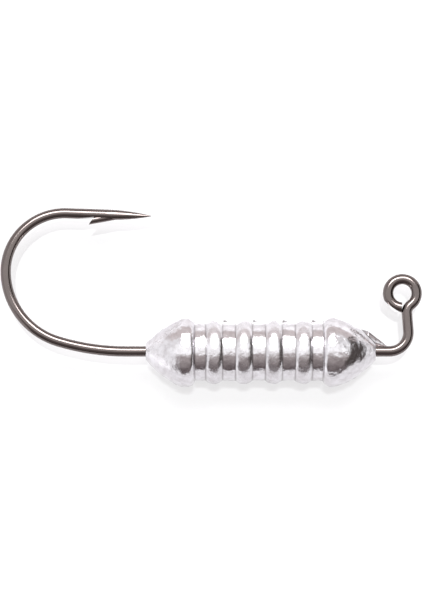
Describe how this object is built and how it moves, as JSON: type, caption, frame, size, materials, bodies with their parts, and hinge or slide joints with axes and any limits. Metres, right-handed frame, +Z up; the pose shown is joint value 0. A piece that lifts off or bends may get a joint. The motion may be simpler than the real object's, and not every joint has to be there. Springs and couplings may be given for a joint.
{
  "type": "jig head",
  "caption": "Barbed fishing hook with an upturned line eye and a ribbed bullet-shaped lead weight cast on its straight shank.",
  "frame": {"origin": "centre of the line eye, in the plane of the hook", "axes": "+X along the shank towards the line eye, +Y from the shank towards the hook's point, +Z up, away from the surface that the jig head lies on"},
  "size_m": [0.0439, 0.0188, 0.0074],
  "materials": {
    "hook_wire": "black nickel plated high carbon steel wire, smooth and glossy",
    "cast_lead": "bare bright cast lead with a grainy skin and mould flash"
  },
  "bodies": {
    "root": {"hook": "hook_wire", "lead_head": "cast_lead"}
  },
  "joints": []
}
